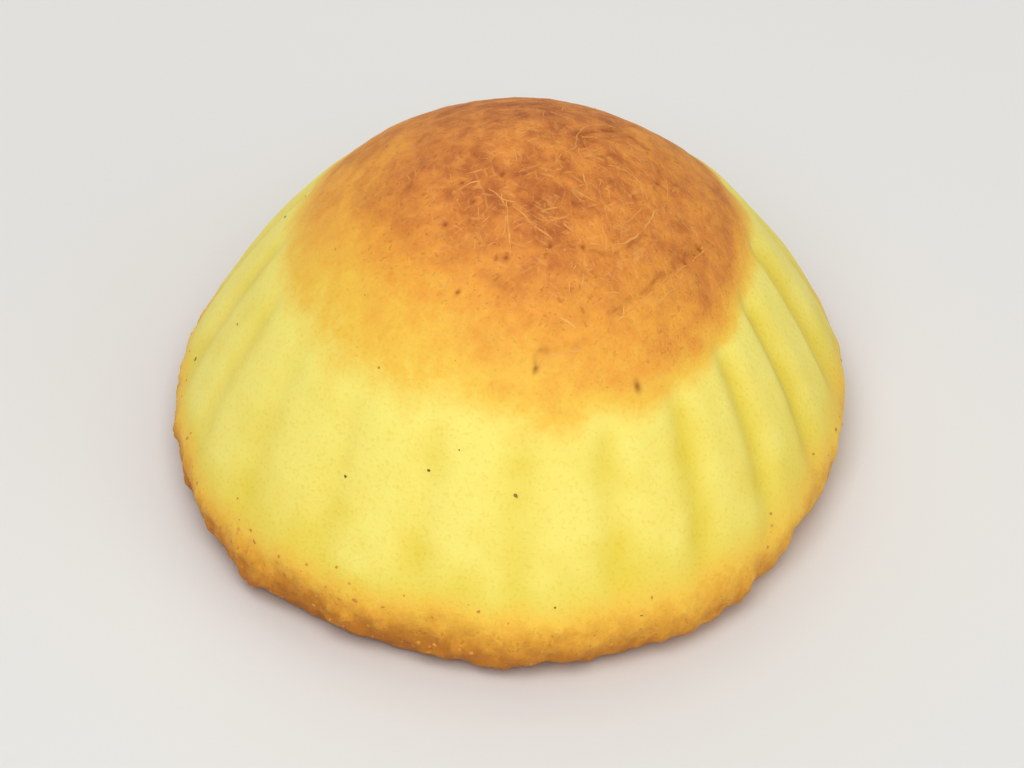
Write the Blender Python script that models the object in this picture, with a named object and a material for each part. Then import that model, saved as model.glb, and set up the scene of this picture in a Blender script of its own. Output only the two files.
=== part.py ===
"""A ma'amoul: one moulded, filled shortcrust cookie, modelled as a single solid.

The cookie is a fluted dome on a flat base. Its wall is turned from one profile, and each point of
the turned wall is then moved by a few rules: the base's uneven outline, the flutes that the mould
leaves between the rim and the plain cap, the soft swelling of baked dough, and a slight lean.

Lengths are in metres and +Z is up. The origin is on the resting face, at the middle of the
cookie's bounding box. Angles round the cookie run from -Y towards +X.
"""

from math import atan2, cos, hypot, pi, radians, sin

import bmesh
import bpy
from mathutils import Vector, noise

NODE = "maamoul"

# Driving dimensions
BASE_RADIUS = 0.0207
HEIGHT = 0.0232
RIM_ROUNDING = 0.0028

# The dome inside the rim's rounding: height share = 1 - radius share ** DOME_POWER
DOME_POWER = 2.1

# Uneven outline of the base: number of lobes, how far they reach and where the first one points
OUTLINE_LOBES = (
    (2, 0.026, radians(-27)),
    (3, 0.010, radians(3)),
    (4, 0.014, radians(34)),
)
LEAN = Vector((0.00025, 0.00030, 0.0))

# Flutes: they fade in above the rim and out at the cap's edge, at these shares of the height
FLUTE_COUNT = 18
FLUTE_TURN = radians(2.4)
FLUTE_DEEPEST = 0.00075
FLUTE_SHALLOWEST = 0.00022
SHALLOW_SIDE = radians(-40)
FLUTE_SKEW = 0.38         # how far the feet of the flutes swing towards the front
GROOVE_WIDTH = 0.95       # how much of each flute is groove, the rest being the flat rib
FLUTE_FOOT = (0.08, 0.34)
CAP_EDGE = (0.575, 0.65)
RIB_RISE = 0.00020

# Soft swelling of the baked dough, and the spacing of its lumps
SWELLING = 0.00016
LUMP_SPACING = 0.0065

# Facets
STEPS_PER_FLUTE = 9
RIM_ROWS = 5
DOME_ROWS = 20
WELD_DISTANCE = 1e-7
SMOOTH_ANGLE = radians(50)

CRUST_COLOUR = (0.86, 0.62, 0.16, 1.0)
CRUST_ROUGHNESS = 0.62


def clear_scene():
    """Remove every object that the scene starts with."""
    for thing in list(bpy.data.objects):
        bpy.data.objects.remove(thing, do_unlink=True)


def smooth_step(low, high, value):
    """Rise from 0 at low to 1 at high, level at both ends."""
    share = min(max((value - low) / (high - low), 0.0), 1.0)
    return share * share * (3.0 - 2.0 * share)


def dome_point(share):
    """Point of the profile at a share of the inner dome's height, and the way out of it there."""
    inner_radius = BASE_RADIUS - RIM_ROUNDING
    inner_height = HEIGHT - 2.0 * RIM_ROUNDING
    radius_share = (1.0 - share) ** (1.0 / DOME_POWER)
    outward = DOME_POWER / inner_radius * radius_share ** (DOME_POWER - 1.0)
    way = Vector((outward, 1.0 / inner_height)).normalized()
    inner = Vector((inner_radius * radius_share, RIM_ROUNDING + inner_height * share))
    return inner + RIM_ROUNDING * way, way


def profile():
    """(radius, height) points of the wall, from the middle of the base to the top of the dome."""
    rim_centre = Vector((BASE_RADIUS - RIM_ROUNDING, RIM_ROUNDING))
    foot_way = dome_point(0.0)[1]
    first_turn = -0.5 * pi
    last_turn = atan2(foot_way.y, foot_way.x)
    points = [Vector((0.0, 0.0))]
    for row in range(RIM_ROWS):
        turn = first_turn + (last_turn - first_turn) * row / RIM_ROWS
        points.append(rim_centre + RIM_ROUNDING * Vector((cos(turn), sin(turn))))
    for row in range(DOME_ROWS + 1):
        points.append(dome_point(sin(0.5 * pi * row / DOME_ROWS))[0])
    return points


def outline_share(angle):
    """How far the base reaches at this angle, as a share of its mean radius."""
    return 1.0 + sum(reach * cos(lobes * (angle - turn)) for lobes, reach, turn in OUTLINE_LOBES)


def flute_relief(angle, height_share):
    """How far the wall stands out from the plain dome: broad ribs between soft grooves."""
    swing = FLUTE_SKEW * (0.6 - height_share) * sin(angle)
    crossing = abs(sin(0.5 * FLUTE_COUNT * (angle + swing - FLUTE_TURN)))
    groove = 1.0 - smooth_step(0.0, GROOVE_WIDTH, crossing)
    deep_share = 0.5 - 0.5 * cos(angle - SHALLOW_SIDE)
    depth = FLUTE_SHALLOWEST + (FLUTE_DEEPEST - FLUTE_SHALLOWEST) * deep_share
    band = smooth_step(*FLUTE_FOOT, height_share) * (1.0 - smooth_step(*CAP_EDGE, height_share))
    return band * (RIB_RISE - depth * groove)


def baked_point(point, way_out):
    """Where a point of the turned wall ends up on the baked cookie."""
    angle = atan2(point.x, -point.y)
    height_share = point.z / HEIGHT
    radius = hypot(point.x, point.y) * outline_share(angle) + flute_relief(angle, height_share)
    swelling = SWELLING * noise.noise(point / LUMP_SPACING) * smooth_step(0.0, 0.1, height_share)
    across = Vector((radius * sin(angle), -radius * cos(angle), point.z))
    return across + swelling * way_out + height_share * LEAN


def turned_wall(mesh):
    """Spin the profile once round the Z axis, starting in the middle of a groove."""
    start = Vector((sin(FLUTE_TURN), -cos(FLUTE_TURN), 0.0))
    verts = [mesh.verts.new(point.x * start + Vector((0.0, 0.0, point.y))) for point in profile()]
    edges = [mesh.edges.new(pair) for pair in zip(verts, verts[1:])]
    steps = FLUTE_COUNT * STEPS_PER_FLUTE
    bmesh.ops.spin(
        mesh, geom=verts + edges, cent=(0, 0, 0), axis=(0, 0, 1), angle=2 * pi, steps=steps, use_merge=True
    )
    bmesh.ops.remove_doubles(mesh, verts=mesh.verts, dist=WELD_DISTANCE)
    bmesh.ops.recalc_face_normals(mesh, faces=mesh.faces)
    mesh.normal_update()


def middle_of_box(mesh):
    """Point of the resting plane under the middle of the mesh's bounding box."""
    xs = [vert.co.x for vert in mesh.verts]
    ys = [vert.co.y for vert in mesh.verts]
    return Vector((0.5 * (min(xs) + max(xs)), 0.5 * (min(ys) + max(ys)), 0.0))


def crust_material():
    """Pale yellow shortcrust."""
    material = bpy.data.materials.new("crust")
    material.use_nodes = True
    shader = material.node_tree.nodes["Principled BSDF"]
    shader.inputs["Base Color"].default_value = CRUST_COLOUR
    shader.inputs["Roughness"].default_value = CRUST_ROUGHNESS
    shader.inputs["Metallic"].default_value = 0.0
    return material


def make_cookie():
    """The whole cookie as one closed solid."""
    shape = bmesh.new()
    turned_wall(shape)
    moved = [baked_point(vert.co, vert.normal) for vert in shape.verts]
    for vert, place in zip(shape.verts, moved):
        vert.co = place
    bmesh.ops.translate(shape, verts=shape.verts, vec=-middle_of_box(shape))
    mesh = bpy.data.meshes.new(NODE)
    shape.to_mesh(mesh)
    shape.free()
    mesh.materials.append(crust_material())
    mesh.shade_smooth()
    mesh.set_sharp_from_angle(angle=SMOOTH_ANGLE)
    bpy.context.scene.collection.objects.link(bpy.data.objects.new(NODE, mesh))


clear_scene()
make_cookie()
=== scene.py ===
"""The looks of a baked ma'amoul: its crust, what clings to it, and a plain studio stage.

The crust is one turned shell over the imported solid, with the same dome, flutes and uneven outline
and a baked surface on top. It carries, as attributes, how far each point is browned and marked,
and its material turns those into colour and grain. Crumbs, pale strands and spice specks are
pieces of their own that sit on the crust.

Lengths are in metres. Angles round the cookie run from -Y towards +X, and a height share is 0 on
the resting face and 1 at the top.
"""

from math import atan2, cos, hypot, pi, radians, sin, sqrt
from random import Random

import bmesh
import bpy
import numpy as np
from bpy.props import FloatProperty, FloatVectorProperty, IntProperty, PointerProperty
from mathutils import Matrix, Vector, noise
from mathutils.bvhtree import BVHTree


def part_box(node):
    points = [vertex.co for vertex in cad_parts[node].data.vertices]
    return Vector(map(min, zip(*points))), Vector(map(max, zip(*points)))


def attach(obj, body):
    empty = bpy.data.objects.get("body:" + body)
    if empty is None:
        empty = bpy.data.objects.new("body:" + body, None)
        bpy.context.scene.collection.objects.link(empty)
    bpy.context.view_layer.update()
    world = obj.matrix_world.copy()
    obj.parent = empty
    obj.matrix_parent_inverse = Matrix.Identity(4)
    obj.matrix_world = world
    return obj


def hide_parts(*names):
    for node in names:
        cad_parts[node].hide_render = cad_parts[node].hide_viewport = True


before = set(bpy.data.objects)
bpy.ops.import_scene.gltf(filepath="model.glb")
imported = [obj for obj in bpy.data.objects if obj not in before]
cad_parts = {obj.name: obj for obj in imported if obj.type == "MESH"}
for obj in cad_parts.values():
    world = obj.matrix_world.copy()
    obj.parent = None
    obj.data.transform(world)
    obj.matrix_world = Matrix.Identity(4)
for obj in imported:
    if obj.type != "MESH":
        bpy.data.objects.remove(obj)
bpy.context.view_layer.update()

bl_info = {
    "name": "Maamoul Crust",
    "version": (1, 0, 0),
    "blender": (4, 5, 0),
    "location": "3D View > Sidebar > Maamoul",
    "description": "Dresses a moulded cookie with its baked crust, crumbs and a studio stage",
    "category": "Add Mesh",
}

NODE = "maamoul"
BODY = "root"
LOW, HIGH = (Vector(corner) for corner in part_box(NODE))
MM = 0.001

# Uneven outline of the base: number of lobes, how far they reach and where the first one points
OUTLINE_LOBES = (
    (2, 0.026, radians(-27)),
    (3, 0.010, radians(3)),
    (4, 0.014, radians(34)),
)

# Flutes: they fade in above the rim and out at the cap's edge, at these shares of the height
FLUTE_FOOT = (0.08, 0.34)
CAP_EDGE = (0.575, 0.65)
SKEW_PIVOT = 0.6          # the height share about which they swing

# The rim's browning starts a little higher on one side: by this share of the height, and where
RIM_TILT = 0.02
RIM_HIGH_SIDE = radians(70)

# Baked surface: how smooth its lumps are, and the ratio of each size of lump to the next one down
LUMP_SMOOTHNESS = 0.9
LUMP_RATIO = 2.1

# Distances between its lumps: the underside's pits, the flank's satin unevenness, the cap's and the
# rim's fine and broad lumps, the crumbling of the chipped side, and the rim's wandering
PIT_SPACING = 1.6 * MM
SATIN_SPACING = 1.4 * MM
CAP_FINE_SPACING = 1.1 * MM
CAP_BROAD_SPACING = 3.2 * MM
RIM_FINE_SPACING = 1.3 * MM
RIM_BROAD_SPACING = 3.4 * MM
WEAR_SPACING = 0.8 * MM
WAVE_SPACING = 4.6 * MM

SATIN_HEIGHT = 0.012 * MM
BASE_SHARE = 0.002        # below this height share, a point is on the base

# The crust's tones, each at its place on the scale from raw to brownest
CAP_TONES = ((0.0, "dough"), (0.22, "toasted"), (0.52, "golden"), (0.80, "browned"), (1.0, "darkest"))
RIM_TONES = (
    (0.03, "warm_dough_and_shade"),
    (0.25, "toasted"),
    (0.40, "rim_golden"),
    (0.62, "rim_brown_and_shade"),
    (0.95, "rim_dark"),
)

# Spice specks on the front: degrees round the cookie, and height shares
FRONT_SPECKS = ((-11, 0.57), (-17, 0.51), (2, 0.48), (9, 0.23), (24, 0.17), (-34, 0.44))

# Middle of the fold that curls on the cap, in plan, and how far it reaches
CURL = Vector((6.2 * MM, 1.4 * MM))
CURL_REACH = 4.5 * MM

# How far drawn ridges are pushed about, over what distance, and where in the noise the push to the
# right and the push back are read
NUDGE = 0.07 * MM
NUDGE_SPACING = 0.5 * MM
NUDGES_APART = (Vector((31.7, 12.3, 5.1)), Vector((8.9, 40.2, 22.6)))

# Where the cap's fine strokes are densest, in plan, how far that reaches and how far they fade
# out, all in millimetres
FELT_MIDDLE = (2.5, -2.5)
FELT_CORE = 5.0
FELT_FADE = 6.0


def paint(red, green, blue):
    """A colour mixed as 0 to 255 screen values, as the linear numbers that shaders take."""
    shares = [value / 255.0 for value in (red, green, blue)]
    linear = [share / 12.92 if share <= 0.04045 else ((share + 0.055) / 1.055) ** 2.4 for share in shares]
    return (*linear, 1.0)


def smooth_step(low, high, value):
    """Rise from 0 at low to 1 at high, level at both ends."""
    share = min(max((value - low) / (high - low), 0.0), 1.0)
    return share * share * (3.0 - 2.0 * share)


def length_property(label, description, default):
    """A setting in metres."""
    return FloatProperty(name=label, description=description, default=default, unit="LENGTH", precision=5)


def share_property(label, description, default):
    """A plain number."""
    return FloatProperty(name=label, description=description, default=default, precision=3)


def angle_property(label, description, degrees):
    """A setting that is an angle, given in degrees."""
    return FloatProperty(name=label, description=description, default=radians(degrees), subtype="ANGLE")


def power_property(label, description, default):
    """A lamp's power in watts."""
    return FloatProperty(name=label, description=description, default=default, subtype="POWER")


def colour_property(label, description, default):
    """A setting that is a colour."""
    return FloatVectorProperty(
        name=label, description=description, default=default, size=4, subtype="COLOR", min=0.0, max=1.0
    )


# Settings


class DomeSettings(bpy.types.PropertyGroup):
    """Sizes of the moulded dome and of its baked surface."""

    rim_rounding: length_property("Rim rounding", "Radius between the flank and the base", 2.8 * MM)
    dome_power: share_property("Dome power", "How square-shouldered the dome is", 2.1)
    lean_right: length_property("Lean right", "How far the top leans towards +X", 0.25 * MM)
    lean_back: length_property("Lean back", "How far the top leans towards +Y", 0.3 * MM)
    flutes: IntProperty(name="Flutes", description="Grooves round the flank", default=18, min=3)
    flute_turn: angle_property("Flute turn", "Where the first groove is", 2.4)
    deepest: length_property("Deepest flute", "Depth on the side that was pressed hardest", 0.75 * MM)
    shallowest: length_property("Shallowest flute", "Depth on the opposite side", 0.22 * MM)
    shallow_side: angle_property("Shallow side", "Where the flutes are shallowest", -40)
    flute_skew: share_property("Flute skew", "How far the feet of the flutes swing towards the front", 0.38)
    groove_width: share_property("Groove width", "How much of each flute is groove", 0.95)
    rib_rise: length_property("Rib rise", "How far the ribs stand out below the cap", 0.20 * MM)
    swelling: length_property("Swelling", "Height of the dough's soft lumps", 0.16 * MM)
    lump_spacing: length_property("Lump spacing", "Distance between the soft lumps", 6.5 * MM)
    cap_crumb: length_property("Cap crumb", "Height of the browned cap's crumb", 0.05 * MM)
    rim_crumb: length_property("Rim crumb", "Height of the ragged crumb along the rim", 0.30 * MM)
    rim_wave: length_property("Rim wave", "How far the rim wanders in and out", 0.35 * MM)
    chipping: length_property("Chipping", "How far the rim is worn back on its chipped side", 0.45 * MM)
    chipped_side: angle_property("Chipped side", "Where the rim is worn back", -34)
    base_pitting: length_property("Base pitting", "Depth of the pits in the underside", 0.12 * MM)


class BakeSettings(bpy.types.PropertyGroup):
    """Where the crust is browned, and its colours."""

    cap_foot: share_property("Cap foot", "Height share where the cap's browning starts", 0.585)
    cap_reach: share_property("Cap reach", "Height share over which the cap's edge browns", 0.11)
    least_edge: share_property("Gentle edge", "How far the cap's edge browns on the gentle side", 0.20)
    most_edge: share_property("Sharp edge", "How far the cap's edge browns on the other side", 0.86)
    gentle_side: angle_property("Gentle side", "Where the browning fades in most gently", -35)
    rim_line: share_property("Rim line", "Height share where the rim's browning starts", 0.27)
    rim_reach: share_property("Rim reach", "Height share it takes to brown the rim", 0.16)
    rim_most: share_property("Hot side", "How much the rim browns on the side that browned most", 1.15)
    rim_least: share_property("Cool side", "How much the rim browns on the opposite side", 0.55)
    hot_side: angle_property("Rim's hot side", "Where the rim browned most", -62)
    dough: colour_property("Dough", "Pale yellow flank", paint(253, 237, 122))
    # Warm dough is the dough's own deeper yellow in patches and grain, and also painted shade in the grooves
    # and towards the rim
    warm_dough_and_shade: colour_property("Warm dough", "Deeper yellow patches and grooves", paint(240, 217, 80))
    toasted: colour_property("Toasted", "First golden browning", paint(252, 205, 78))
    golden: colour_property("Golden", "Orange-brown crust", paint(247, 172, 66))
    browned: colour_property("Browned", "Brown crust of the cap", paint(230, 145, 66))
    darkest: colour_property("Darkest", "Darkest patches of the cap", paint(194, 109, 55))
    rim_golden: colour_property("Golden rim", "Upper part of the browned rim", paint(238, 176, 62))
    # The lower rim's brown is baked browning, darkened further with painted contact shade along the foot
    rim_brown_and_shade: colour_property("Brown rim", "Lower part of the browned rim", paint(208, 136, 44))
    rim_dark: colour_property("Dark rim", "Outer edge of the rim where it browned most", paint(178, 106, 32))
    toast_shade: colour_property("Toast shade", "Tint of the darker toasted patches", (0.62, 0.52, 0.45, 1.0))
    # Painted shade inside pits, creases and pinholes
    crease_shade: colour_property("Crease", "Inside of pits and creases", paint(156, 80, 24))
    strand_brown: colour_property("Brown strand", "Raised strands on the brownest crust", paint(228, 148, 68))
    strand: colour_property("Pale strand", "Raised strands on the golden crust", paint(250, 192, 100))
    fibre: colour_property("Fibre", "Fine pale strokes all over the cap", paint(242, 174, 94))
    crumb: colour_property("Crumb", "Palest crumbs along the rim", paint(238, 178, 84))
    spice: colour_property("Spice", "Darkest specks of spice", paint(112, 82, 34))
    spice_pale: colour_property("Pale spice", "Palest specks of spice", paint(168, 130, 56))


class BitSettings(bpy.types.PropertyGroup):
    """The small things that cling to the crust."""

    rim_crumbs: IntProperty(name="Rim crumbs", description="Crumbs along the rim", default=200, min=0)
    cap_crumbs: IntProperty(name="Cap crumbs", description="Fine crumbs on the cap", default=110, min=0)
    strands: IntProperty(name="Strands", description="Pale strands on the cap", default=60, min=0)
    crumb_size: length_property("Crumb size", "Mean radius of a crumb", 0.13 * MM)
    strand_length: length_property("Strand length", "Mean length of a strand", 1.2 * MM)
    strand_width: length_property("Strand width", "Half the mean width of a strand", 0.055 * MM)
    back_specks: IntProperty(name="Back specks", description="Spice specks behind", default=8, min=0)
    speck_size: length_property("Speck size", "Mean radius of a spice speck", 0.16 * MM)


class StageSettings(bpy.types.PropertyGroup):
    """The floor, the lights and the camera."""

    floor_size: length_property("Floor size", "Side of the floor", 3.0)
    floor_colour: colour_property("Floor colour", "Plain pale floor", (0.80, 0.80, 0.80, 1.0))
    sky_colour: colour_property("Sky colour", "Light from all round", (1.0, 0.99, 0.97, 1.0))
    sky_strength: share_property("Sky strength", "Strength of the light from all round", 0.40)
    key_power: power_property("Key light", "Power of the main light", 2.3)
    fill_power: power_property("Fill light", "Power of the fill light", 0.5)
    back_power: power_property("Back light", "Power of the light behind", 0.8)
    elevation: angle_property("Camera elevation", "How far above the horizon the camera is", 42)
    roll: angle_property("Camera roll", "Turn of the camera about its line of sight", 2)
    distance: length_property("Camera distance", "From the camera to the cookie", 0.9)
    view_width: length_property("View width", "Width of the view at the cookie", 61.8 * MM)
    aim_height: length_property("Aim height", "Height that the camera looks at", 5.28 * MM)
    aim_right: length_property("Aim right", "How far right of the middle the camera looks", 0.12 * MM)


SETTINGS = {
    "maamoul_dome": DomeSettings,
    "maamoul_bake": BakeSettings,
    "maamoul_bits": BitSettings,
    "maamoul_stage": StageSettings,
}


def settings(name):
    """The scene's settings group of that name."""
    return getattr(bpy.context.scene, name)


def values_of(group):
    """A settings group's numbers, read once, because reading them one by one is slow."""
    return {name: getattr(group, name) for name in group.__annotations__}


# Form of the cookie


class Form:
    """The moulded dome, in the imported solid's own size."""

    def __init__(self):
        for name, value in values_of(settings("maamoul_dome")).items():
            setattr(self, name, value)
        turns = [radians(degree) for degree in range(360)]
        edge_x = [self.outline_share(turn) * sin(turn) for turn in turns]
        edge_y = [-self.outline_share(turn) * cos(turn) for turn in turns]
        wide = max(edge_x) - min(edge_x)
        deep = max(edge_y) - min(edge_y)
        self.radius = (HIGH.x - LOW.x + HIGH.y - LOW.y) / (wide + deep)
        self.height = HIGH.z - LOW.z
        self.lean = Vector((self.lean_right, self.lean_back, 0.0))
        middle_x = 0.5 * (max(edge_x) + min(edge_x))
        middle_y = 0.5 * (max(edge_y) + min(edge_y))
        self.shift = Vector((-middle_x * self.radius, -middle_y * self.radius, LOW.z))

    @staticmethod
    def outline_share(angle):
        """How far the base reaches at this angle, as a share of its mean radius."""
        return 1.0 + sum(reach * cos(lobes * (angle - turn)) for lobes, reach, turn in OUTLINE_LOBES)

    def dome_point(self, share):
        """Point of the profile at a share of the inner dome's height, and the way out of it there."""
        inner_radius = self.radius - self.rim_rounding
        inner_height = self.height - 2.0 * self.rim_rounding
        radius_share = (1.0 - share) ** (1.0 / self.dome_power)
        outward = self.dome_power / inner_radius * radius_share ** (self.dome_power - 1.0)
        way = Vector((outward, 1.0 / inner_height)).normalized()
        inner = Vector((inner_radius * radius_share, self.rim_rounding + inner_height * share))
        return inner + self.rim_rounding * way, way

    def profile(self, base_rows, rim_rows, dome_rows):
        """(radius, height) points of the wall, from the middle of the base to the top of the dome."""
        inner_radius = self.radius - self.rim_rounding
        foot_way = self.dome_point(0.0)[1]
        first_turn = -0.5 * pi
        last_turn = atan2(foot_way.y, foot_way.x)
        points = [Vector((inner_radius * row / base_rows, 0.0)) for row in range(base_rows)]
        for row in range(rim_rows):
            turn = first_turn + (last_turn - first_turn) * row / rim_rows
            centre = Vector((inner_radius, self.rim_rounding))
            points.append(centre + self.rim_rounding * Vector((cos(turn), sin(turn))))
        for row in range(dome_rows + 1):
            points.append(self.dome_point(sin(0.5 * pi * row / dome_rows))[0])
        return points

    def groove(self, angle, height_share):
        """0 on the flat crest of a rib, 1 in the middle of a groove."""
        swing = self.flute_skew * (SKEW_PIVOT - height_share) * sin(angle)
        crossing = abs(sin(0.5 * self.flutes * (angle + swing - self.flute_turn)))
        return 1.0 - smooth_step(0.0, self.groove_width, crossing)

    def flute_depth(self, angle):
        """Depth of the flutes on this side of the cookie."""
        deep_share = 0.5 - 0.5 * cos(angle - self.shallow_side)
        return self.shallowest + (self.deepest - self.shallowest) * deep_share

    def pressed(self, angle):
        """0 where the mould hardly marked the dough, 1 where it marked it well."""
        return smooth_step(0.1, 0.65, self.flute_depth(angle) / self.deepest)

    @staticmethod
    def flute_band(height_share):
        """1 where the flutes are cut to their full depth, 0 on the rim and on the cap."""
        return smooth_step(*FLUTE_FOOT, height_share) * (1.0 - smooth_step(*CAP_EDGE, height_share))

    def baked_point(self, point, way_out):
        """Where a point of the turned wall ends up on the baked cookie."""
        angle = atan2(point.x, -point.y)
        height_share = point.z / self.height
        relief = self.rib_rise - self.flute_depth(angle) * self.groove(angle, height_share)
        radius = hypot(point.x, point.y) * self.outline_share(angle)
        radius += self.flute_band(height_share) * relief
        lump = noise.noise(point / self.lump_spacing) * smooth_step(0.0, 0.1, height_share)
        across = Vector((radius * sin(angle), -radius * cos(angle), point.z))
        return across + self.swelling * lump * way_out + height_share * self.lean + self.shift


class Bake:
    """How far the crust is browned at a place on it."""

    def __init__(self):
        for name, value in values_of(settings("maamoul_bake")).items():
            setattr(self, name, value)

    def cap(self, angle, height_share):
        """Browning of the cap: below 0 under its foot, and 1 where it is brownest, at the top."""
        above_foot = (height_share - self.cap_foot) / self.cap_reach
        if above_foot < 0.0:
            return 0.5 * above_foot
        gentle = (0.5 + 0.5 * cos(angle - self.gentle_side)) ** 2.2
        edge = self.most_edge + (self.least_edge - self.most_edge) * gentle
        top = smooth_step(self.cap_foot + 0.12, 0.99, height_share)
        return edge * min(above_foot, 1.0) + (1.0 - edge) * top

    def rim(self, angle, height_share):
        """Browning of the rim: 0 where it starts, and more towards the rim's outer edge and below."""
        line = self.rim_line + RIM_TILT * cos(angle - RIM_HIGH_SIDE)
        level = (line - height_share) / self.rim_reach
        if level < 0.0:
            return level
        hot = (0.5 + 0.5 * cos(angle - self.hot_side)) ** 1.3
        return level * (self.rim_least + (self.rim_most - self.rim_least) * hot)


class Mark:
    """A fold line or pit in the cap, cut in and darkened by its dark share with painted shade. Its points in
    plan, width and depth are in millimetres.
    """

    def __init__(self, points, width, depth, dark):
        self.points = [np.array(point, float) for point in points]
        self.width = width
        self.depth = depth
        self.dark = dark

    def strength(self, places):
        """How strongly each place is marked, from 0 to 1."""
        nearest = np.full(len(places), 1e9)
        for start, end in zip(self.points, self.points[1:] or self.points):
            along = end - start
            share = np.clip((places - start) @ along / max(along @ along, 1e-9), 0.0, 1.0)
            nearest = np.minimum(nearest, np.linalg.norm(places - start - share[:, None] * along, axis=1))
        return np.exp(-((nearest / self.width) ** 2))


def wobbled(places):
    """Places in plan, pushed about a little so that straight and round marks come out uneven."""
    x, y = places.T
    right = 0.10 * np.sin(2.7 * y + 0.9 * x + 1.1) + 0.06 * np.sin(7.3 * y - 3.1 * x)
    back = 0.10 * np.sin(2.3 * x - 1.1 * y + 2.0) + 0.06 * np.sin(6.7 * x + 2.9 * y + 0.6)
    return places + np.stack((right, back), axis=1)


def broken(places):
    """How much of a mark is left at each place, from about 0.2 to 1."""
    x, y = places.T
    return 0.6 + 0.4 * np.sin(3.9 * x + 1.7 * y + 0.4) * np.sin(4.3 * y - 2.1 * x + 1.9)


def cap_marks():
    """The creases of the fold that curls on the cap, the scratch below it, and the pits."""
    marks = [
        Mark([(3.8, 2.3), (4.0, 3.6), (4.8, 4.6), (5.9, 5.2), (7.0, 5.2), (7.9, 4.7)], 0.16, 0.13, 0.9),
        Mark([(4.3, 2.8), (5.3, 3.8), (6.5, 4.1), (7.5, 3.8), (8.3, 3.1), (8.6, 2.0)], 0.13, 0.07, 0.5),
        Mark([(4.2, 1.1), (5.5, 2.2), (6.7, 2.2), (7.7, 1.7), (8.4, 0.9)], 0.13, 0.06, 0.45),
        Mark([(5.2, -0.4), (6.0, 0.3), (6.8, 0.1), (7.0, -0.8)], 0.13, 0.05, 0.35),
        Mark([(7.7, -2.8), (6.9, -4.1), (5.8, -5.1), (4.5, -5.5)], 0.13, 0.07, 0.5),
        Mark([(11.2, -1.0), (9.8, -3.3), (8.3, -5.4), (7.5, -6.6), (5.8, -8.5)], 0.13, 0.08, 0.6),
        Mark([(1.5, -12.0), (1.4, -11.3), (2.1, -10.9)], 0.13, 0.05, 0.45),
        Mark([(2.1, -10.9), (3.4, -10.6), (4.6, -10.3)], 0.12, 0.03, 0.2),
    ]
    pits = (
        ((7.6, -11.0), 0.22),
        ((11.1, -1.2), 0.19),
        ((10.2, -2.9), 0.14),
        ((1.5, -11.8), 0.16),
        ((-4.2, -4.2), 0.17),
        ((2.1, -5.8), 0.15),
        ((4.1, -5.4), 0.15),
        ((-0.5, -6.6), 0.14),
        ((-1.1, -6.6), 0.12),
        ((-0.9, -1.1), 0.16),
        ((-3.3, -1.5), 0.15),
        ((-2.6, -3.0), 0.14),
        ((8.4, 1.6), 0.17),
        ((-3.3, -8.2), 0.14),
    )
    return marks + [Mark([point], width, 0.12, 0.9) for point, width in pits]


def marked(plan, on_top):
    """How deep the cap's marks cut at each point, in metres, and how much painted shade darkens them there.
    """
    depth, dark = np.zeros(len(plan)), np.zeros(len(plan))
    uneven_plan, left = wobbled(plan), broken(plan)
    for mark in cap_marks():
        is_line = len(mark.points) > 1
        strength = mark.strength(uneven_plan) * left if is_line else mark.strength(plan)
        depth += mark.depth * MM * strength * on_top
        dark = np.maximum(dark, mark.dark * strength * on_top)
    return depth, dark


def felted(plan):
    """How thickly the fine pale strokes lie at each point, from 0.25 to 1."""
    from_middle = np.linalg.norm(plan - FELT_MIDDLE, axis=1)
    return 1.0 - np.clip((from_middle - FELT_CORE) / FELT_FADE, 0.0, 0.75)


def cap_ridges():
    """Pale ridges that stand along the creases: plan points in millimetres, and half a width."""
    return (
        ([(3.4, 1.9), (3.5, 3.6), (4.4, 5.1), (5.9, 5.8)], 0.08),
        ([(6.2, 5.9), (7.6, 5.5), (8.8, 4.4)], 0.07),
        ([(4.4, 1.9), (5.5, 3.1), (6.6, 3.3), (7.5, 2.7)], 0.07),
        ([(4.6, 0.4), (5.6, 1.3), (6.7, 1.3), (7.6, 0.6), (7.9, -0.4)], 0.07),
        ([(8.9, 2.6), (9.1, 1.2), (8.8, -0.2)], 0.06),
        ([(3.6, 2.0), (3.8, 0.1), (4.2, -1.4)], 0.09),
        ([(8.4, -0.4), (7.9, -2.1), (7.0, -3.7), (5.8, -4.6), (4.4, -5.1)], 0.09),
        ([(7.5, -1.0), (6.9, -2.4), (5.9, -3.4)], 0.06),
        ([(7.9, -3.3), (7.2, -4.5), (6.3, -5.3)], 0.06),
        ([(11.4, -0.9), (10.6, -2.4), (9.6, -4.1), (8.7, -5.4)], 0.09),
        ([(8.5, -5.8), (7.9, -6.7), (6.9, -7.9)], 0.08),
        ([(6.7, -8.2), (5.6, -9.2), (4.7, -9.9)], 0.07),
        ([(10.3, -3.9), (9.2, -5.6), (8.4, -6.7)], 0.05),
        ([(1.8, -12.1), (1.7, -11.4), (2.5, -11.1), (3.7, -10.8), (4.7, -10.5)], 0.06),
        ([(-0.6, -3.0), (-0.4, -5.0), (-0.2, -6.6)], 0.07),
        ([(-0.2, -3.4), (1.1, -4.7), (2.3, -5.4)], 0.07),
        ([(4.1, -5.7), (4.2, -6.8), (4.0, -8.0)], 0.06),
        ([(-3.8, -1.3), (-3.0, -0.8), (-2.0, -0.6)], 0.06),
        ([(-3.5, -2.0), (-2.6, -1.5), (-1.5, -1.4)], 0.06),
    )


def rounded(points, times=3):
    """The same path with its corners cut this many times over."""
    for _ in range(times):
        cut = [a.lerp(b, share) for a, b in zip(points, points[1:]) for share in (0.25, 0.75)]
        points = [points[0], *cut, points[-1]]
    return points


def nudged(point):
    """A plan point pushed about a little, so that a drawn path comes out uneven."""
    place = point.to_3d() / NUDGE_SPACING
    push = Vector([noise.noise(place + apart) for apart in NUDGES_APART])
    return point + NUDGE * push


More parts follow.
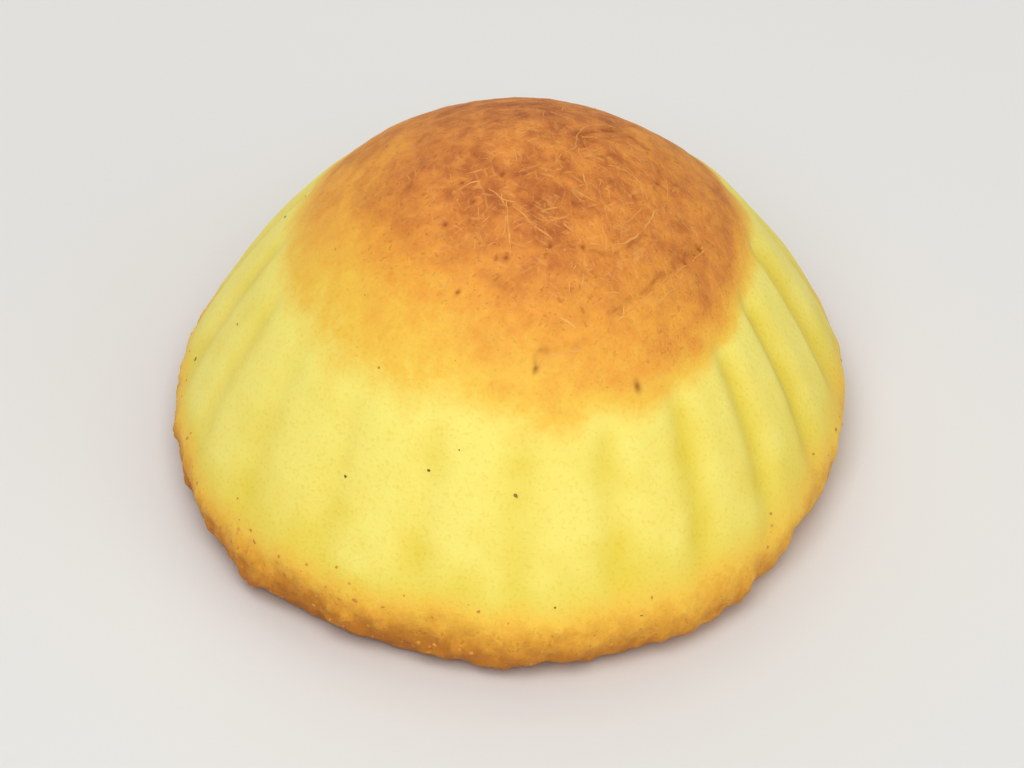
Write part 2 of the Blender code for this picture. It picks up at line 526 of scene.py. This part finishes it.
def turned_wall(form, steps, rows):
    """A bmesh of the plain dome: the profile spun once round the Z axis, with its poles closed."""
    mesh = bmesh.new()
    start = Vector((0.0, -1.0, 0.0))
    points = form.profile(*rows)
    verts = [mesh.verts.new(point.x * start + Vector((0.0, 0.0, point.y))) for point in points]
    edges = [mesh.edges.new(pair) for pair in zip(verts, verts[1:])]
    bmesh.ops.spin(
        mesh, geom=verts + edges, cent=(0, 0, 0), axis=(0, 0, 1), angle=2 * pi, steps=steps, use_merge=True
    )
    bmesh.ops.remove_doubles(mesh, verts=mesh.verts, dist=1e-7)
    bmesh.ops.recalc_face_normals(mesh, faces=mesh.faces)
    mesh.normal_update()
    return mesh


def crumb_noise(place, spacing, octaves=3):
    """Fractal noise, about -1 to 1, whose largest lumps are this far apart."""
    return noise.fractal(place / spacing, LUMP_SMOOTHNESS, LUMP_RATIO, octaves)


def crust_relief(form, place, cap, rim, height_share):
    """How far the baked surface stands off the smooth dough at a place."""
    if height_share < BASE_SHARE:
        return -form.base_pitting * max(0.0, crumb_noise(place, PIT_SPACING))
    cap_share = smooth_step(0.1, 0.9, cap)
    rim_share = smooth_step(0.2, 1.0, rim)
    satin = SATIN_HEIGHT * crumb_noise(place, SATIN_SPACING, 2)
    cap_broad = noise.noise(place / CAP_BROAD_SPACING)
    cap_lumps = form.cap_crumb * (crumb_noise(place, CAP_FINE_SPACING) + 0.7 * cap_broad)
    rim_broad = noise.noise(place / RIM_BROAD_SPACING)
    rim_lumps = form.rim_crumb * (crumb_noise(place, RIM_FINE_SPACING) + 0.9 * rim_broad)
    worn = max(0.0, cos(atan2(place.x, -place.y) - form.chipped_side)) ** 4
    rim_lumps += worn * (0.5 * form.rim_crumb * crumb_noise(place, WEAR_SPACING) - form.chipping)
    rim_lumps += form.rim_wave * noise.noise(place / WAVE_SPACING)
    clear_of_floor = smooth_step(0.0, 0.05, height_share)
    return satin + cap_share * cap_lumps + clear_of_floor * rim_share * rim_lumps


def linked(mesh_data, name, materials):
    """A new object of the scene for this mesh, riding with the cookie."""
    piece = bpy.data.objects.new(name, mesh_data)
    for material in materials:
        mesh_data.materials.append(material)
    bpy.context.scene.collection.objects.link(piece)
    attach(piece, BODY)
    return piece


def add_attribute(mesh_data, name, values):
    """Keep one number for each point of the mesh, for its material to read."""
    attribute = mesh_data.attributes.new(name, "FLOAT", "POINT")
    attribute.data.foreach_set("value", np.asarray(values, np.float32))


# Shaders


class Value:
    """A shader's number that varies over the surface, for use in plain arithmetic."""

    def __init__(self, recipe, socket):
        self.recipe = recipe
        self.socket = socket

    def math(self, operation, *terms, clamp=False):
        """One Math node on these terms."""
        made = self.recipe.node(
            "ShaderNodeMath", {"operation": operation, "use_clamp": clamp}, dict(enumerate(terms))
        )
        return Value(self.recipe, made.outputs[0])

    def __add__(self, other):
        return self.math("ADD", self, other)

    def __sub__(self, other):
        return self.math("SUBTRACT", self, other)

    def __rsub__(self, other):
        return self.math("SUBTRACT", other, self)

    def __mul__(self, other):
        return self.math("MULTIPLY", self, other)

    __radd__ = __add__
    __rmul__ = __mul__

    def larger(self, other):
        """The larger of the two."""
        return self.math("MAXIMUM", self, other)

    def clamped(self):
        """Kept between 0 and 1."""
        return self.math("MULTIPLY", self, 1.0, clamp=True)

    def above(self, low, high):
        """0 below low, 1 above high, and a smooth rise between them."""
        made = self.recipe.node(
            "ShaderNodeMapRange",
            {"interpolation_type": "SMOOTHSTEP"},
            {"Value": self, "From Min": low, "From Max": high},
        )
        return Value(self.recipe, made.outputs["Result"])


class Recipe:
    """A material and the few ways in which its nodes are made."""

    def __init__(self, name):
        self.material = bpy.data.materials.new(name)
        self.material.use_nodes = True
        self.tree = self.material.node_tree
        self.shader = self.tree.nodes["Principled BSDF"]
        self.place = self.node("ShaderNodeTexCoord").outputs["Object"]

    def node(self, kind, settings_first=None, sockets=None):
        """A node of this kind, with its settings and then its sockets' values or links."""
        made = self.tree.nodes.new(kind)
        for name, value in (settings_first or {}).items():
            if name == "stops":
                self.set_stops(made.color_ramp, value)
            else:
                setattr(made, name, value)
        for key, value in (sockets or {}).items():
            self.feed(made.inputs[key], value)
        return made

    def feed(self, socket, value):
        """Link a value or an output to this socket, or set the socket's own value."""
        source = value.socket if isinstance(value, Value) else value
        if isinstance(source, bpy.types.NodeSocket):
            self.tree.links.new(source, socket)
        else:
            socket.default_value = source

    @staticmethod
    def set_stops(ramp, stops):
        """Give a colour ramp these (position, colour) stops."""
        while len(ramp.elements) < len(stops):
            ramp.elements.new(0.5)
        for element, (position, colour) in zip(ramp.elements, stops):
            element.position = position
            element.color = colour

    def ramp(self, level, stops):
        """The colour of a level, on a scale with these (position, colour) stops."""
        return self.node("ShaderNodeValToRGB", {"stops": stops}, {"Fac": level}).outputs["Color"]

    def attribute(self, name):
        """The piece's own attribute of that name."""
        return Value(self, self.node("ShaderNodeAttribute", {"attribute_name": name}).outputs["Fac"])

    def grain(self, spacing, detail=2.0, distortion=0.0, roughness=0.5):
        """Noise of about 0 to 1 whose lumps are this far apart."""
        made = self.node(
            "ShaderNodeTexNoise",
            None,
            {
                "Vector": self.place,
                "Scale": 1.0 / spacing,
                "Detail": detail,
                "Roughness": roughness,
                "Distortion": distortion,
            },
        )
        return Value(self, made.outputs[0])

    def fibres(self, turns, across, along):
        """0 to 1 on short fine strokes that lie this many degrees from the Y axis, seen from above."""
        drift = self.node(
            "ShaderNodeTexNoise", None, {"Vector": self.place, "Scale": 0.4 / along, "Detail": 1.0}
        )
        push = self.node(
            "ShaderNodeVectorMath",
            {"operation": "MULTIPLY_ADD"},
            {0: drift.outputs["Color"], 1: (along, along, along), 2: self.place},
        )
        strongest = None
        for turn in turns:
            turned = self.node(
                "ShaderNodeMapping",
                {"vector_type": "TEXTURE"},
                {
                    "Vector": push.outputs["Vector"],
                    "Location": (0.007 * turn * MM, 0.003 * turn * MM, 0.05 * turn * MM),
                    "Rotation": (0.0, 0.0, radians(turn)),
                    "Scale": (across, along, 2.0 * across),
                },
            )
            noise_here = self.node(
                "ShaderNodeTexNoise", None, {"Vector": turned.outputs["Vector"], "Scale": 1.0, "Detail": 0.0}
            )
            strokes = Value(self, noise_here.outputs[0]).above(0.64, 0.80)
            strongest = strokes if strongest is None else strongest.larger(strokes)
        return strongest

    def blend(self, share, first, second, kind="MIX"):
        """One colour turning into another as share goes from 0 to 1."""
        made = self.node(
            "ShaderNodeMix",
            {"data_type": "RGBA", "blend_type": kind, "clamp_factor": True},
            {"Factor": share, 6: first, 7: second},
        )
        return made.outputs[2]

    def bump(self, height, distance):
        """A bump of this height field."""
        sockets = {"Height": height, "Distance": distance, "Strength": 1.0}
        return self.node("ShaderNodeBump", None, sockets).outputs["Normal"]

    def finish(self, **sockets):
        """Set the shader's own sockets, whose names are given with _ for a space."""
        for name, value in sockets.items():
            self.feed(self.shader.inputs[name.replace("_", " ")], value)
        return self.material


def crust_material(bake):
    """Baked dough: satin yellow, toasted to brown by the cap and rim attributes, with fine crumb and with
    painted shade in the grooves, pits and creases and towards the rim.
    """
    recipe = Recipe("baked_crust")
    clouds = recipe.grain(4.6 * MM, detail=1.0)
    blots = recipe.grain(1.9 * MM, detail=1.0)
    mottle = recipe.grain(1.1 * MM, detail=2.0, distortion=0.4, roughness=0.55)
    fine = recipe.grain(0.40 * MM, detail=2.0, roughness=0.65)
    fibres = recipe.fibres((12, 66, 128), 0.21 * MM, 1.2 * MM) * recipe.attribute("felt")
    # How deep each groove's tint is, partly painted shade, and how much painted shade each mark gets
    hollow = recipe.attribute("hollow")
    dark = recipe.attribute("dark")

    # How far each place is browned, unevenly in broad patches and speckled finely
    drift = (clouds - 0.5) * 0.36 + (blots - 0.5) * 0.16
    cap_level = recipe.attribute("cap") + drift
    rim_level = recipe.attribute("rim") + drift
    speckle = (mottle - 0.5) * 0.38 + (fine - 0.5) * 0.28
    cap_shown = cap_level * 0.86 + speckle * (cap_level.above(-0.1, 0.6) * 0.8 + 0.2)
    rim_shown = rim_level * 0.55 + speckle * (rim_level.above(0.0, 0.9) * 0.65 + 0.15)

    # Raw dough, deeper yellow in random patches, with painted shade in the grooves (partly the dough's own
    # deeper colour) and towards the rim, under the browned rim and cap
    shade_near_rim = rim_level.above(-0.9, 0.2) * 0.35
    warmth_and_shade = (hollow + shade_near_rim + (clouds - 0.45) * 1.1 + (blots - 0.5) * 0.7).clamped()
    dough = recipe.blend(warmth_and_shade, bake.dough, bake.warm_dough_and_shade)
    rim_colour = recipe.ramp(rim_shown, [(at, getattr(bake, tone)) for at, tone in RIM_TONES])
    cap_colour = recipe.ramp(cap_shown, [(at, getattr(bake, tone)) for at, tone in CAP_TONES])
    colour = recipe.blend(rim_level.above(-0.25, 0.55), dough, rim_colour)
    colour = recipe.blend(cap_level.above(-0.14, 0.22), colour, cap_colour)

    # Darker toasted patches and pale strokes on what is browned, and painted shade in its pinholes and in the
    # marks' pits and creases
    on_cap = cap_level.above(0.25, 0.75)
    baked = (cap_level.above(0.1, 0.9) + rim_level.above(0.2, 1.0)).clamped()
    patches = ((clouds - 0.5) * 0.6 + (blots - 0.5) * 0.7 + (mottle - 0.5) * 0.8 + 0.28).clamped()
    shade = patches * (cap_level.above(0.5, 0.95) * 0.65 + baked * 0.35)
    colour = recipe.blend(shade, colour, bake.toast_shade, kind="MULTIPLY")
    colour = recipe.blend(fibres * on_cap * 0.4, colour, bake.fibre)
    pinholes = (1.0 - fine.above(0.30, 0.42)) * baked
    colour = recipe.blend(pinholes * 0.42, colour, bake.crease_shade)
    colour = recipe.blend(dark, colour, bake.crease_shade)

    # The semolina's grain all over
    semolina = recipe.grain(0.24 * MM, detail=1.0)
    colour = recipe.blend(semolina.above(0.54, 0.70) * 0.22, colour, bake.warm_dough_and_shade, kind="MULTIPLY")
    grain_height = fine * (baked * 0.75 + 0.15) + semolina * 0.22
    normal = recipe.bump(grain_height, 0.13 * MM)
    return recipe.finish(
        Base_Color=colour,
        Roughness=(baked * 0.10 + mottle * 0.08 + 0.55),
        Normal=normal,
        IOR=1.32,
        Subsurface_Weight=0.22,
        Subsurface_Scale=1.4 * MM,
        Subsurface_Radius=(1.0, 0.62, 0.2),
    )


def bit_material(name, low, high, roughness, spacing=0.12 * MM, unevenness=0.5):
    """One kind of small thing: between two tones, by the piece's own tone attribute."""
    recipe = Recipe(name)
    grain = recipe.grain(spacing, detail=2.0)
    tone = (recipe.attribute("tone") + (grain - 0.5) * unevenness).clamped()
    return recipe.finish(
        Base_Color=recipe.blend(tone, low, high),
        Roughness=roughness,
        Normal=recipe.bump(grain, 0.02 * MM),
        IOR=1.42,
    )


def floor_material(colour):
    """Plain matt paper."""
    return Recipe("floor_paper").finish(Base_Color=colour, Roughness=0.9)


# Pieces


def surface_of(piece):
    """A search tree of a finished piece's faces."""
    return BVHTree.FromObject(piece, bpy.context.evaluated_depsgraph_get())


def land_beside(tree, angle, height):
    """Place and outward direction where a level ray from the middle leaves the crust."""
    start = Vector((0.0, 0.0, height))
    return tree.ray_cast(start, Vector((sin(angle), -cos(angle), 0.0)))[:2]


def land_above(tree, x, y):
    """Place and outward direction where a plumb line meets the crust from above."""
    return tree.ray_cast(Vector((x, y, 2.0 * HIGH.z)), Vector((0.0, 0.0, -1.0)))[:2]


def standing_on(normal, turn):
    """Rotation that stands +Z on a surface's outward direction, turned about it."""
    return normal.to_track_quat("Z", "Y").to_matrix().to_4x4() @ Matrix.Rotation(turn, 4, "Z")


class BitHeap:
    """Many small things of one kind, joined in one mesh, each with its own tone."""

    def __init__(self):
        self.mesh = bmesh.new()
        self.tone = self.mesh.verts.layers.float.new("tone")

    def settle(self, verts, tone):
        """Give the newest thing its tone."""
        for vert in verts:
            vert[self.tone] = tone

    def add_crumb(self, rng, place, normal, size, tone, sunk=0.35):
        """A rough, slightly flattened lump."""
        made = bmesh.ops.create_uvsphere(self.mesh, u_segments=7, v_segments=5, radius=1.0)["verts"]
        seed = Vector([rng.uniform(-50.0, 50.0) for _ in range(3)])
        for vert in made:
            vert.co *= 1.0 + 0.38 * noise.noise(vert.co * 1.3 + seed)
        stretch = Vector((rng.uniform(0.8, 1.5), rng.uniform(0.7, 1.1), rng.uniform(0.5, 0.8)))
        turned = standing_on(normal, rng.uniform(0.0, 2 * pi))
        seat = Matrix.Translation(place - sunk * size * normal) @ turned
        sized = Matrix.Diagonal((*(size * stretch), 1.0))
        bmesh.ops.transform(self.mesh, matrix=seat @ sized, verts=made)
        self.settle(made, tone)

    def add_strand(self, tree, path, width, tone):
        """A thin low ridge that follows the crust along a path in plan, and thins out at its ends."""
        loops = []
        for step, point in enumerate(path):
            place, normal = land_above(tree, *point)
            heading = path[min(step + 1, len(path) - 1)] - path[max(step - 1, 0)]
            across = normal.cross(heading.to_3d()).normalized()
            taper = min(1.0, 2.2 * sin(pi * (step + 0.4) / (len(path) - 0.2))) ** 0.7
            fullness = width * taper * max(0.2, 0.75 + 0.6 * noise.noise(place / (0.8 * MM)))
            axes = Matrix((fullness * across, 0.5 * fullness * normal, across.cross(normal)))
            seat = axes.transposed().to_4x4()
            seat.translation = place - 0.25 * width * normal
            is_end = step in (0, len(path) - 1)
            made = bmesh.ops.create_circle(
                self.mesh, cap_ends=is_end, segments=6, radius=1.0, matrix=seat
            )["verts"]
            self.settle(made, tone)
            loops.append(list(dict.fromkeys(edge for vert in made for edge in vert.link_edges)))
        for near, far in zip(loops, loops[1:]):
            bmesh.ops.bridge_loops(self.mesh, edges=near + far)

    def piece(self, name, material):
        """The finished piece, shaded smooth and with its faces pointing out."""
        bmesh.ops.recalc_face_normals(self.mesh, faces=self.mesh.faces)
        mesh_data = bpy.data.meshes.new(name)
        self.mesh.to_mesh(mesh_data)
        self.mesh.free()
        mesh_data.shade_smooth()
        return linked(mesh_data, name, [material])


class MAAMOUL_OT_crust(bpy.types.Operator):
    """Turn the baked crust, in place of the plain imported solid"""

    bl_idname = "maamoul.crust"
    bl_label = "Baked crust"

    steps = 580               # columns round the cookie
    rows = (10, 22, 138)      # rings of the base, the rim and the dome

    def execute(self, context):
        form = Form()
        bake = Bake()
        mesh = turned_wall(form, self.steps, self.rows)
        verts = list(mesh.verts)
        angles = [atan2(vert.co.x, -vert.co.y) for vert in verts]
        shares = [vert.co.z / form.height for vert in verts]
        smooth = [form.baked_point(vert.co, vert.normal) for vert in verts]
        for vert, place in zip(verts, smooth):
            vert.co = place
        mesh.normal_update()
        caps = [bake.cap(angle, share) for angle, share in zip(angles, shares)]
        rims = [bake.rim(angle, share) for angle, share in zip(angles, shares)]
        # How far each groove is tinted: partly the dough's own deeper colour, partly painted shade in the
        # groove
        hollows = [
            form.flute_band(share) * form.groove(angle, share) * (0.1 + 0.75 * form.pressed(angle))
            for angle, share in zip(angles, shares)
        ]
        plan = np.array([(vert.co.x / MM, vert.co.y / MM) for vert in verts])
        depth, dark = marked(plan, np.array(shares) > 0.5)
        for vert, cap, rim, share, cut in zip(verts, caps, rims, shares, depth):
            vert.co += vert.normal * (crust_relief(form, vert.co, cap, rim, share) - float(cut))
            vert.co.z = max(vert.co.z, LOW.z)
        mesh_data = bpy.data.meshes.new("baked_crust")
        mesh.to_mesh(mesh_data)
        mesh.free()
        kept = {"cap": caps, "rim": rims, "hollow": hollows, "dark": dark, "felt": felted(plan)}
        for name, values in kept.items():
            add_attribute(mesh_data, name, values)
        mesh_data.shade_smooth()
        crust = linked(mesh_data, "baked_crust", [crust_material(bake)])
        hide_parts(NODE)
        return {"FINISHED"}


class MAAMOUL_OT_crumbs(bpy.types.Operator):
    """Scatter browned crumbs along the rim and over the cap"""

    bl_idname = "maamoul.crumbs"
    bl_label = "Crumbs"

    def execute(self, context):
        form, bake, bits = Form(), Bake(), settings("maamoul_bits")
        tree = surface_of(bpy.data.objects["baked_crust"])
        rng = Random(7)
        heap = BitHeap()
        for _ in range(bits.rim_crumbs):
            angle = rng.choice((rng.uniform(-pi, pi), rng.gauss(form.chipped_side, 0.5)))
            height = form.height * rng.triangular(0.02, 0.26, 0.08)
            place, normal = land_beside(tree, angle, height)
            size = bits.crumb_size * rng.uniform(0.5, 1.5)
            heap.add_crumb(rng, place, normal, size, rng.uniform(0.0, 0.75))
        for _ in range(bits.cap_crumbs):
            angle = rng.uniform(-pi, pi)
            reach = form.radius * 0.66 * sqrt(rng.random())
            place, normal = land_above(tree, reach * sin(angle), -reach * cos(angle))
            size = bits.crumb_size * rng.uniform(0.35, 0.9)
            heap.add_crumb(rng, place, normal, size, rng.uniform(0.0, 0.8), sunk=0.45)
        heap.piece("loose_crumbs", bit_material("crumb", bake.rim_brown_and_shade, bake.crumb, 0.68))
        return {"FINISHED"}


class MAAMOUL_OT_strands(bpy.types.Operator):
    """Lay fine pale strands of dough over the cap"""

    bl_idname = "maamoul.strands"
    bl_label = "Cap strands"

    @staticmethod
    def tone(path, rng):
        """Palest towards the front of the cap, as the crust under the strand is."""
        return 0.1 - 0.05 * path[0].y / MM + rng.uniform(-0.2, 0.2)

    def execute(self, context):
        form, bake, bits = Form(), Bake(), settings("maamoul_bits")
        tree = surface_of(bpy.data.objects["baked_crust"])
        rng = Random(21)
        heap = BitHeap()
        for points, width in cap_ridges():
            path = [nudged(point) for point in rounded([Vector(point) * MM for point in points])]
            heap.add_strand(tree, path, 1.15 * width * MM, self.tone(path, rng))
        for _ in range(bits.strands):
            angle = rng.uniform(-pi, pi)
            reach = form.radius * 0.44 * sqrt(rng.random())
            point = Vector((2.0 * MM + reach * sin(angle), -1.5 * MM - reach * cos(angle)))
            from_curl = point - CURL
            stray = 0.4 if from_curl.length < CURL_REACH else 3.0
            heading = rng.gauss(atan2(from_curl.y, from_curl.x) + 0.5 * pi, stray)
            length = bits.strand_length * rng.uniform(0.5, 1.5)
            bend = rng.uniform(-0.7, 0.7)
            path = [point]
            for step in range(6):
                turn = heading + bend * step / 6
                path.append(path[-1] + length / 6 * Vector((cos(turn), sin(turn))))
            heap.add_strand(tree, path, bits.strand_width * rng.uniform(0.7, 1.4), self.tone(path, rng))
        material = bit_material("strand", bake.strand_brown, bake.strand, 0.62, 0.7 * MM, 1.0)
        heap.piece("cap_strands", material)
        return {"FINISHED"}


class MAAMOUL_OT_specks(bpy.types.Operator):
    """Set the ground spice that shows in the dough"""

    bl_idname = "maamoul.specks"
    bl_label = "Spice specks"

    def execute(self, context):
        form, bake, bits = Form(), Bake(), settings("maamoul_bits")
        tree = surface_of(bpy.data.objects["baked_crust"])
        rng = Random(5)
        heap = BitHeap()
        behind = [(rng.uniform(110, 285), rng.uniform(0.2, 0.6)) for _ in range(bits.back_specks)]
        for degrees, height_share in (*FRONT_SPECKS, *behind):
            place, normal = land_beside(tree, radians(degrees), height_share * form.height)
            size = bits.speck_size * rng.uniform(0.6, 1.3)
            heap.add_crumb(rng, place, normal, size, rng.random(), sunk=0.4)
        heap.piece("spice_specks", bit_material("spice", bake.spice, bake.spice_pale, 0.6))
        return {"FINISHED"}


def add_light(name, place, size, power, colour):
    """A soft square light aimed at the cookie."""
    light = bpy.data.lights.new(name, "AREA")
    light.shape = "SQUARE"
    light.size = size
    light.energy = power
    light.color = colour
    lamp = bpy.data.objects.new(name, light)
    aim = Vector((0.0, 0.0, 0.4 * HIGH.z)) - Vector(place)
    lamp.matrix_world = Matrix.Translation(place) @ aim.to_track_quat("-Z", "Y").to_matrix().to_4x4()
    bpy.context.scene.collection.objects.link(lamp)


def add_camera(stage):
    """The camera, looking at the cookie's side from above."""
    camera = bpy.data.cameras.new("camera")
    camera.lens = camera.sensor_width * stage.distance / stage.view_width
    camera.clip_start = 0.01
    camera.clip_end = 20.0
    viewer = bpy.data.objects.new("camera", camera)
    line = Vector((0.0, -cos(stage.elevation), sin(stage.elevation)))
    turned = Matrix.Rotation(0.5 * pi - stage.elevation, 4, "X") @ Matrix.Rotation(stage.roll, 4, "Z")
    aim = Vector((stage.aim_right, 0.0, stage.aim_height))
    viewer.matrix_world = Matrix.Translation(aim + stage.distance * line) @ turned
    bpy.context.scene.collection.objects.link(viewer)
    bpy.context.scene.camera = viewer


def light_sky(colour, strength):
    """Even light from all round."""
    world = bpy.data.worlds.new("sky")
    world.use_nodes = True
    sky = world.node_tree.nodes["Background"]
    sky.inputs["Color"].default_value = colour
    sky.inputs["Strength"].default_value = strength
    bpy.context.scene.world = world


class MAAMOUL_OT_stage(bpy.types.Operator):
    """Set up the floor, the lights and the camera"""

    bl_idname = "maamoul.stage"
    bl_label = "Studio stage"

    def execute(self, context):
        stage = settings("maamoul_stage")
        mesh = bmesh.new()
        below = Matrix.Translation((0.0, 0.0, LOW.z - 0.05 * MM))
        bmesh.ops.create_grid(mesh, x_segments=1, y_segments=1, size=0.5 * stage.floor_size, matrix=below)
        mesh_data = bpy.data.meshes.new("floor")
        mesh.to_mesh(mesh_data)
        mesh.free()
        mesh_data.materials.append(floor_material(tuple(stage.floor_colour)))
        floor = bpy.data.objects.new("floor", mesh_data)
        context.scene.collection.objects.link(floor)
        light_sky(tuple(stage.sky_colour), stage.sky_strength)
        add_light("key", (-0.05, -0.32, 0.54), 0.45, stage.key_power, (1.0, 0.985, 0.96))
        add_light("fill", (0.45, -0.30, 0.30), 0.50, stage.fill_power, (1.0, 0.99, 0.97))
        add_light("back", (-0.15, 0.50, 0.40), 0.60, stage.back_power, (1.0, 0.99, 0.97))
        add_camera(stage)
        context.scene.view_settings.view_transform = "Standard"
        return {"FINISHED"}


OPERATORS = (
    MAAMOUL_OT_stage,
    MAAMOUL_OT_crust,
    MAAMOUL_OT_crumbs,
    MAAMOUL_OT_strands,
    MAAMOUL_OT_specks,
)


class MAAMOUL_PT_panel(bpy.types.Panel):
    """The cookie's pieces and settings, in the sidebar"""

    bl_label = "Maamoul"
    bl_idname = "MAAMOUL_PT_panel"
    bl_space_type = "VIEW_3D"
    bl_region_type = "UI"
    bl_category = "Maamoul"

    def draw(self, context):
        for operator in OPERATORS:
            self.layout.operator(operator.bl_idname)
        for name, group in SETTINGS.items():
            box = self.layout.box()
            for setting in group.__annotations__:
                box.prop(getattr(context.scene, name), setting)


CLASSES = (*SETTINGS.values(), *OPERATORS, MAAMOUL_PT_panel)


def register():
    """Add the settings, the operators and the panel."""
    for made in CLASSES:
        bpy.utils.register_class(made)
    for name, group in SETTINGS.items():
        setattr(bpy.types.Scene, name, PointerProperty(type=group))


def unregister():
    """Take them away again."""
    for name in SETTINGS:
        delattr(bpy.types.Scene, name)
    for made in reversed(CLASSES):
        bpy.utils.unregister_class(made)


def main():
    """Make every piece and the stage."""
    register()
    for operator in OPERATORS:
        group, call = operator.bl_idname.split(".")
        getattr(getattr(bpy.ops, group), call)()


if __name__ == "__main__":
    main()
